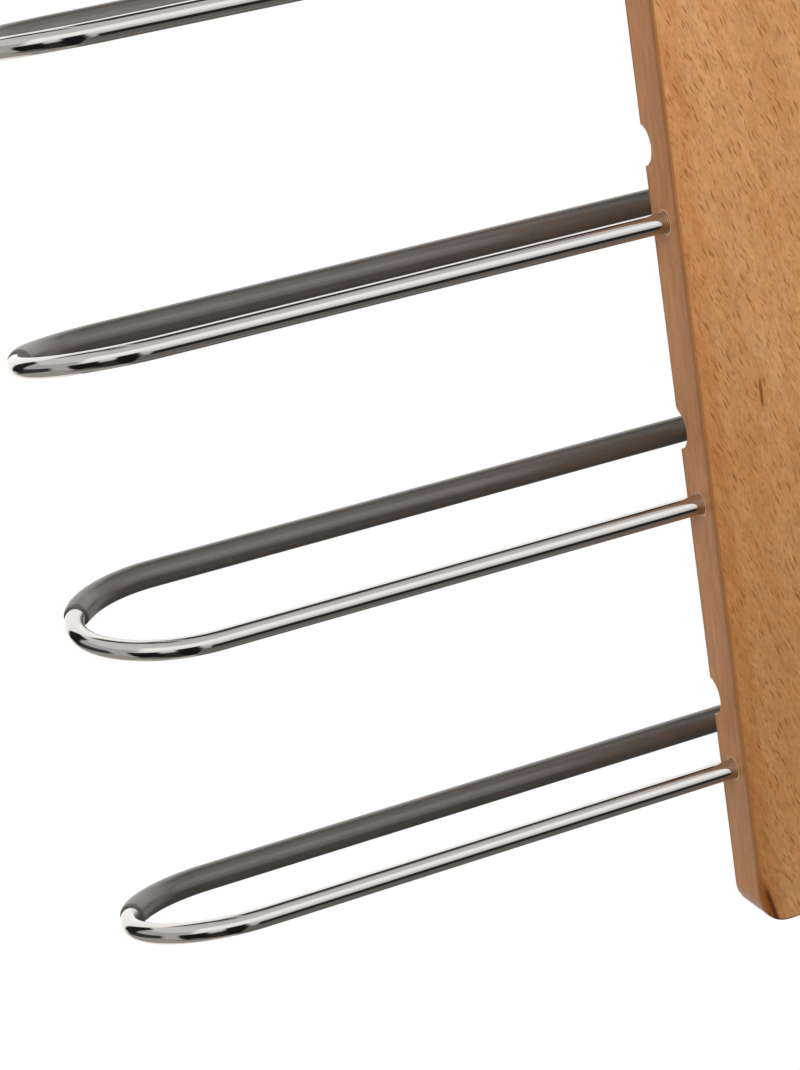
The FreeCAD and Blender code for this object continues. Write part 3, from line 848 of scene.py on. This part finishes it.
def add_groove(bm, tier, sizes):
    """Cutter for a tier's groove across the board's back, with a rounded lip above and below."""
    others = set(bm.edges)
    left = BOARD_LOW.x - CUTTER_MARGIN
    rim = HALF_DEPTH + LIP_OVERLAP
    height = pivot_height(tier) - sizes.loop_width * math.sin(sizes.fold_angle)
    folded_depth = sizes.loop_width * math.cos(sizes.fold_angle)
    radius = HALF_DEPTH - folded_depth + sizes.sleeve_diameter / 2 + sizes.groove_clearance
    lower, upper = sizes.groove_lower_lip, sizes.groove_upper_lips[TIERS.index(tier)]
    lower_z = height - math.sqrt(radius**2 + 2 * radius * lower)
    upper_z = height + math.sqrt(radius**2 + 2 * radius * upper)
    lower_turn = math.acos(lower / (radius + lower))
    upper_turn = math.acos(upper / (radius + upper))

    start = bm.verts.new((left, rim, lower_z))
    end = sweep_vert(bm, start, (left, rim - lower, lower_z), X_AXIS, lower_turn, LIP_STEPS)
    end = sweep_vert(bm, end, (left, rim, height), -X_AXIS, lower_turn + upper_turn, GROOVE_STEPS)
    end = sweep_vert(bm, end, (left, rim - upper, upper_z), X_AXIS, upper_turn, LIP_STEPS)
    upper_out = bm.verts.new((left, rim + CUTTER_MARGIN, upper_z))
    lower_out = bm.verts.new((left, rim + CUTTER_MARGIN, lower_z))
    for pair in ((end, upper_out), (upper_out, lower_out), (lower_out, start)):
        bm.edges.new(pair)
    outline = [edge for edge in bm.edges if edge not in others]
    section = bmesh.ops.holes_fill(bm, edges=outline, sides=0)["faces"]
    made = bmesh.ops.extrude_face_region(bm, geom=section)["geom"]
    to_far_side = X_AXIS * 2 * (HALF_WIDTH + CUTTER_MARGIN)
    bmesh.ops.translate(bm, verts=only(BMVert, made), vec=to_far_side)


def add_pivot_drill(bm, tier, side, sizes):
    """Cutter for one of a tier's two pivot holes, flared at its mouth."""
    radius = sizes.pivot_hole / 2
    chamfer = sizes.pivot_chamfer
    flare = radius + 2 * chamfer
    mouth = Vector((side * HALF_WIDTH, 0, pivot_height(tier)))
    inward = Vector((-side, 0, 0))
    start = ring(bm, flare, mouth - inward * chamfer, ACROSS_X)
    throat = draw_out(bm, start, inward * 2 * chamfer)
    about_mouth = Matrix.Translation(-mouth)
    narrowing = (1, radius / flare, radius / flare)
    bmesh.ops.scale(bm, vec=narrowing, space=about_mouth, verts=ring_verts(throat))
    bottom = draw_out(bm, throat, inward * (sizes.pivot_depth - chamfer))
    cap(bm, (start, bottom))


def board_cutter(sizes):
    """All that is cut from the board: pivot holes, swivel hole and grooves."""
    bm = bmesh.new()
    for tier in TIERS:
        for side in (-1, 1):
            add_pivot_drill(bm, tier, side, sizes)
    top = Vector((0, 0, BOARD_HIGH.z + sizes.swivel_depth))
    start = ring(bm, sizes.swivel_hole / 2, top, ACROSS_Z)
    bottom = draw_out(bm, start, -Z_AXIS * 2 * sizes.swivel_depth)
    cap(bm, (start, bottom))
    for tier in TIERS[:-1]:
        add_groove(bm, tier, sizes)
    return mesh_from(bm, "board_cutter")


class HANGER_OT_spine_board(bpy.types.Operator):
    """Beech board with grooves behind, pivot holes in its edges and the swivel hole in its top end"""

    bl_idname = "hanger.spine_board"
    bl_label = "Spine board"

    def execute(self, context):
        sizes = context.scene.hanger_sizes
        blank = add_object("board_blank", board_mesh(sizes))
        cutter = add_object("board_cutter", board_cutter(sizes))
        arrises = blank.modifiers.new("arrises", "BEVEL")
        arrises.limit_method = "WEIGHT"
        arrises.width = widest_arris(sizes)
        arrises.segments = ARRIS_STEPS
        arrises.profile = 0.5
        arrises.use_clamp_overlap = False
        cuts = blank.modifiers.new("cuts", "BOOLEAN")
        cuts.operation = "DIFFERENCE"
        cuts.solver = "EXACT"
        cuts.object = cutter
        context.view_layer.update()
        milled = blank.evaluated_get(context.evaluated_depsgraph_get())
        mesh = bpy.data.meshes.new_from_object(milled)
        mesh.name = "board"
        smooth(mesh)
        for scrap in (blank, cutter):
            bpy.data.objects.remove(scrap)
        add_piece("board", mesh, "oiled_beech", "spine", "spine_board")
        return {"FINISHED"}


class HANGER_OT_trouser_bars(bpy.types.Operator):
    """One chromed rod for each tier, bent to a loop with its two ends in the board"""

    bl_idname = "hanger.trouser_bars"
    bl_label = "Trouser bars"

    def execute(self, context):
        sizes = context.scene.hanger_sizes
        for tier in TIERS:
            mesh = self.rod(tier, sizes)
            bar = "bar_%d" % tier
            add_piece("chromed_" + bar, mesh, "bright_chrome", bar, "trouser_" + bar)
        return {"FINISHED"}

    def rod(self, tier, sizes):
        bm = bmesh.new()
        bend_x = bar_bend_x(sizes)
        half_loop = sizes.loop_width / 2
        end_x = HALF_WIDTH - sizes.pivot_depth + ROD_END_GAP
        leg = X_AXIS * (bend_x - end_x)
        first = ring(bm, sizes.rod_diameter / 2, (end_x, 0, 0), ACROSS_X)
        far = draw_out(bm, first, leg)
        far = bend(bm, far, (bend_x, half_loop, 0), Z_AXIS, HALF_TURN)
        far = draw_out(bm, far, -X_AXIS * 2 * bend_x)
        far = bend(bm, far, (-bend_x, half_loop, 0), Z_AXIS, HALF_TURN)
        last = draw_out(bm, far, leg)
        for edges in (first, last):
            close_end(bm, edges, sizes.rod_end_round, END_STEPS)
        hang_on_pivot(bm, tier, sizes)
        return mesh_from(bm, "bar_%d" % tier)


class HANGER_OT_grip_sleeves(bpy.types.Operator):
    """Plastic tube on the back leg of each bar, from just past one tip's middle round to the other tip"""

    bl_idname = "hanger.grip_sleeves"
    bl_label = "Grip sleeves"

    def execute(self, context):
        sizes = context.scene.hanger_sizes
        for tier in TIERS:
            mesh = self.tube(tier, sizes)
            sleeve = "sleeve_%d" % tier
            add_piece(sleeve, mesh, "satin_grip", "bar_%d" % tier, "grip_" + sleeve)
        return {"FINISHED"}

    def tube(self, tier, sizes):
        bm = bmesh.new()
        bore = sizes.sleeve_bore / 2
        outer = self.wall(bm, sizes.sleeve_diameter / 2, bore + sizes.sleeve_end_wall, sizes)
        inner = self.wall(bm, bore, bore, sizes)
        for outer_end, inner_end in zip(outer, inner):
            bmesh.ops.bridge_loops(bm, edges=outer_end + inner_end)
        for end in outer:
            round_edges(bm, end, sizes.sleeve_end_round, END_STEPS)
        hang_on_pivot(bm, tier, sizes)
        return mesh_from(bm, "sleeve_%d" % tier)

    def wall(self, bm, radius, end_radius, sizes):
        """One surface of the tube, thinner towards its ends; returns the rings at its two ends."""
        bend_x = bar_bend_x(sizes)
        half_loop = sizes.loop_width / 2
        taper = sizes.sleeve_taper / half_loop
        covered = QUARTER_TURN - sizes.sleeve_end_angle - taper
        first = self.section(bm, 1, radius, sizes.sleeve_end_angle + taper, sizes)
        far = bend(bm, first, (bend_x, half_loop, 0), Z_AXIS, covered, BEND_STEPS // 2)
        far = draw_out(bm, far, -X_AXIS * 2 * bend_x)
        last = bend(bm, far, (-bend_x, half_loop, 0), Z_AXIS, covered, BEND_STEPS // 2)
        ends = []
        for side, edges in ((1, first), (-1, last)):
            for step in range(1, TAPER_STEPS + 1):
                part = step / TAPER_STEPS
                thinned = radius - (radius - end_radius) * part**2
                past_tip = sizes.sleeve_end_angle + taper * (1 - part)
                nearer = self.section(bm, side, thinned, past_tip, sizes)
                bmesh.ops.bridge_loops(bm, edges=edges + nearer)
                edges = nearer
            ends.append(edges)
        return ends

    def section(self, bm, side, radius, past_tip, sizes):
        """Ring across the path of the right or left tip, an angle past the tip's middle."""
        bend_x = side * bar_bend_x(sizes)
        half_loop = sizes.loop_width / 2
        tip = (bend_x + side * half_loop, half_loop, 0)
        edges = ring(bm, radius, tip, ACROSS_Y)
        turn = Matrix.Rotation(side * past_tip, 3, "Z")
        bmesh.ops.rotate(bm, cent=(bend_x, half_loop, 0), matrix=turn, verts=ring_verts(edges))
        return edges


class HANGER_OT_hook(bpy.types.Operator):
    """Chromed wire hook with its shank, clip groove, reverse bend, crook and rounded tip"""

    bl_idname = "hanger.hook"
    bl_label = "Hook"

    def execute(self, context):
        mesh = self.wire(context.scene.hanger_sizes)
        add_piece("wire_hook", mesh, "bright_chrome", "hook", "hook")
        return {"FINISHED"}

    def wire(self, sizes):
        bm = bmesh.new()
        radius = HOOK_HIGH.z / 2
        crook = HOOK_HIGH.x - radius
        crook_z = radius - crook
        meeting = math.acos(sizes.hook_bend / (sizes.hook_bend + crook))
        bend_z = crook_z - math.sqrt((sizes.hook_bend + crook) ** 2 - sizes.hook_bend**2)
        tip = meeting + HALF_TURN + math.asin(sizes.hook_tip_drop / crook)
        rounded = TIP_ROOM * sizes.hook_tip_round / (crook - radius)
        narrow = (radius - sizes.clip_groove) / radius

        first = ring(bm, radius, (0, 0, HOOK_LOW.z), ACROSS_Z)
        far = draw_out(bm, first, Z_AXIS * (CLIP_LOW.z - HOOK_LOW.z))
        far = step_in(bm, far, (0, 0, CLIP_LOW.z), narrow)
        far = draw_out(bm, far, Z_AXIS * (CLIP_HIGH.z - CLIP_LOW.z))
        far = step_in(bm, far, (0, 0, CLIP_HIGH.z), 1 / narrow)
        far = draw_out(bm, far, Z_AXIS * (bend_z - CLIP_HIGH.z))
        far = bend(bm, far, (sizes.hook_bend, 0, bend_z), Y_AXIS, meeting)
        far = bend(bm, far, (0, 0, crook_z), -Y_AXIS, tip - rounded, 2 * BEND_STEPS)
        last = bend(bm, far, (0, 0, crook_z), -Y_AXIS, rounded, 1)
        close_end(bm, first, sizes.rod_end_round, END_STEPS)
        close_end(bm, last, sizes.hook_tip_round, TIP_STEPS)
        return mesh_from(bm, "hook")


class HANGER_OT_swivel(bpy.types.Operator):
    """Chromed ferrule on the board's top end, with the brass bush and the clip under it"""

    bl_idname = "hanger.swivel"
    bl_label = "Swivel"

    def execute(self, context):
        mesh = self.crown(context.scene.hanger_sizes)
        add_piece("ferrule", mesh, "bright_chrome", "spine", "hook_ferrule")
        set_finish(frame["nodes"]["hook_bush"].data, "turned_brass")
        set_finish(frame["nodes"]["hook_clip"].data, "dark_spring_steel")
        return {"FINISHED"}

    def crown(self, sizes):
        """Ring with a straight rim and a sloping crown, hollow over the bush."""
        bm = bmesh.new()
        base, top = FERRULE_LOW.z, FERRULE_HIGH.z
        bore = sizes.ferrule_bore / 2
        bush = sizes.swivel_hole / 2
        profile = [
            (bush, base),
            (FERRULE_HIGH.x, base),
            (FERRULE_HIGH.x, base + sizes.ferrule_rim),
            (bore + sizes.ferrule_lip, top),
            (bore, top),
            (bore, base + sizes.ferrule_web),
            (bush, base + sizes.ferrule_web),
        ]
        verts = [bm.verts.new((radius, 0, height)) for radius, height in profile]
        edges = [bm.edges.new(pair) for pair in zip(verts, verts[1:] + verts[:1])]
        geom = verts + edges
        turn = 2 * HALF_TURN
        bmesh.ops.spin(
            bm, geom=geom, cent=(0, 0, 0), axis=Z_AXIS, angle=turn, steps=RING_SIDES, use_merge=True
        )
        bmesh.ops.recalc_face_normals(bm, faces=bm.faces)
        rims = [edge for edge in bm.edges if edge.calc_face_angle(0) > SHARP_ANGLE]
        round_edges(bm, rims, sizes.ferrule_round, END_STEPS)
        return mesh_from(bm, "ferrule")


class HANGER_OT_stage(bpy.types.Operator):
    """White studio with a pale floor, soft lamps, dark panels for the chrome, and the camera"""

    bl_idname = "hanger.stage"
    bl_label = "Stage"

    def execute(self, context):
        stage = context.scene.hanger_stage
        context.scene.view_settings.view_transform = "Standard"
        context.scene.world = self.world(stage)
        self.floor(stage)
        for name, size in LAMP_SIZES.items():
            spot, power = getattr(stage, name + "_place"), getattr(stage, name + "_power")
            self.lamp(name + "_lamp", spot, power, size)
        context.scene.camera = self.camera(stage)
        return {"FINISHED"}

    def world(self, stage):
        """White to the camera, a soft-box studio to polished metal, and even light for the rest."""
        world = bpy.data.worlds.new("white_studio")
        world.use_nodes = True
        world.node_tree.nodes.clear()
        studio = Finish(world.name, world.node_tree)
        x, y, z = studio.axes(studio.add("TexCoord").outputs["Generated"])[:]
        azimuth = studio.math("DEGREES", studio.math("ARCTAN2", x, studio.product(y, -1.0)))
        elevation = studio.math("DEGREES", studio.math("ARCSINE", z))
        shade = studio.step(elevation, *WALL_SHADES)
        for name, left, right, low, high, soft, tone in REFLECTED_PANELS:
            sideways = studio.between(azimuth, left, right, soft)
            mask = studio.product(sideways, studio.between(elevation, low, high, soft))
            panel = studio.add("Mix", {0: mask, 2: shade, 3: tone}, data_type="FLOAT", label=name)
            shade = panel.outputs[0]
        bright = studio.product(shade, stage.panel_power)
        tint = studio.mix(studio.step(elevation, *TABLE_BORDER), STUDIO_TINT, TABLE_TINT)
        from_above = studio.step(elevation, *AMBIENT_RISE, AMBIENT_BELOW * stage.ambient, stage.ambient)
        white = studio.add("Background", {"Color": WHITE, "Strength": 1.0}).outputs[0]
        panels = studio.add("Background", {"Color": tint, "Strength": bright}).outputs[0]
        ambient = studio.add("Background", {"Color": WHITE, "Strength": from_above}).outputs[0]
        glossy = studio.add("LightPath").outputs["Is Glossy Ray"]
        lit = studio.add("MixShader", {0: glossy, 1: ambient, 2: panels}).outputs[0]
        sky = studio.add("MixShader", {0: studio.seen(), 1: lit, 2: white}).outputs[0]
        studio.add("OutputWorld", {"Surface": sky})
        return world

    def floor(self, stage):
        """Pale floor that takes the shadow under the hanger and is plain white farther off."""
        bm = bmesh.new()
        bmesh.ops.create_grid(bm, x_segments=1, y_segments=1, size=FLOOR_SIZE)
        bmesh.ops.translate(bm, verts=bm.verts, vec=(0, 0, BOARD_LOW.z - stage.floor_drop))
        mesh = bpy.data.meshes.new("floor")
        bm.to_mesh(mesh)
        bm.free()
        ground = Finish("floor")
        x, y, _ = ground.axes(ground.object_place())[:]
        distance = ground.math("SQRT", ground.square_sum(x, y))
        white = ground.product(ground.step(distance, *FLOOR_PATCH), ground.seen())
        matt = ground.add("BsdfDiffuse", {"Color": solid(stage.floor)}).outputs[0]
        glow = ground.add("Emission", {"Color": WHITE, "Strength": 1.0}).outputs[0]
        mixed = ground.add("MixShader", {0: white, 1: matt, 2: glow}).outputs[0]
        ground.add("OutputMaterial", {"Surface": mixed})
        mesh.materials.append(ground.material)
        plane = add_object("floor", mesh)
        plane.visible_glossy = False
        plane.visible_diffuse = False

    def lamp(self, name, spot, power, size):
        light = bpy.data.lights.new(name, "AREA")
        light.shape = "SQUARE"
        light.size = size
        light.energy = power
        lamp = add_object(name, light)
        middle = (CAD_BOX[0] + CAD_BOX[1]) / 2
        lamp.location = spot
        lamp.rotation_euler = (middle - Vector(spot)).to_track_quat("-Z", "Y").to_euler()
        lamp.visible_camera = False
        lamp.visible_glossy = False

    def camera(self, stage):
        data = bpy.data.cameras.new("camera")
        data.lens = stage.camera_lens
        data.sensor_width = 36.0
        data.sensor_fit = "AUTO"
        data.clip_start = 0.01
        camera = add_object("camera", data)
        sight = Vector(stage.camera_aim) - Vector(stage.camera_place)
        aim = sight.to_track_quat("-Z", "Y").to_matrix().to_4x4()
        roll = Matrix.Rotation(-stage.camera_roll, 4, "Z")
        camera.matrix_world = Matrix.Translation(Vector(stage.camera_place)) @ aim @ roll
        return camera


class HANGER_PT_panel(bpy.types.Panel):
    """Hanger tab of the sidebar"""

    bl_idname = "HANGER_PT_panel"
    bl_label = "Trouser hanger"
    bl_space_type = "VIEW_3D"
    bl_region_type = "UI"
    bl_category = "Hanger"

    def draw(self, context):
        layout = self.layout
        for operator in OPERATORS:
            layout.operator(operator.bl_idname)
        for name in GROUPS:
            group = getattr(context.scene, name)
            box = layout.box()
            for setting in group.__annotations__:
                box.prop(group, setting)


OPERATORS = (
    HANGER_OT_spine_board,
    HANGER_OT_trouser_bars,
    HANGER_OT_grip_sleeves,
    HANGER_OT_hook,
    HANGER_OT_swivel,
    HANGER_OT_stage,
)
GROUPS = {"hanger_sizes": HangerSizes, "hanger_finishes": HangerFinishes, "hanger_stage": HangerStage}
CLASSES = (*GROUPS.values(), *OPERATORS, HANGER_PT_panel)


def register():
    for cls in CLASSES:
        bpy.utils.register_class(cls)
    for name, group in GROUPS.items():
        setattr(bpy.types.Scene, name, PointerProperty(type=group))


def unregister():
    for name in GROUPS:
        delattr(bpy.types.Scene, name)
    for cls in reversed(CLASSES):
        bpy.utils.unregister_class(cls)


def main():
    register()
    bpy.ops.hanger.spine_board()
    bpy.ops.hanger.trouser_bars()
    bpy.ops.hanger.grip_sleeves()
    bpy.ops.hanger.hook()
    bpy.ops.hanger.swivel()
    bpy.ops.hanger.stage()


if __name__ == "__main__":
    main()
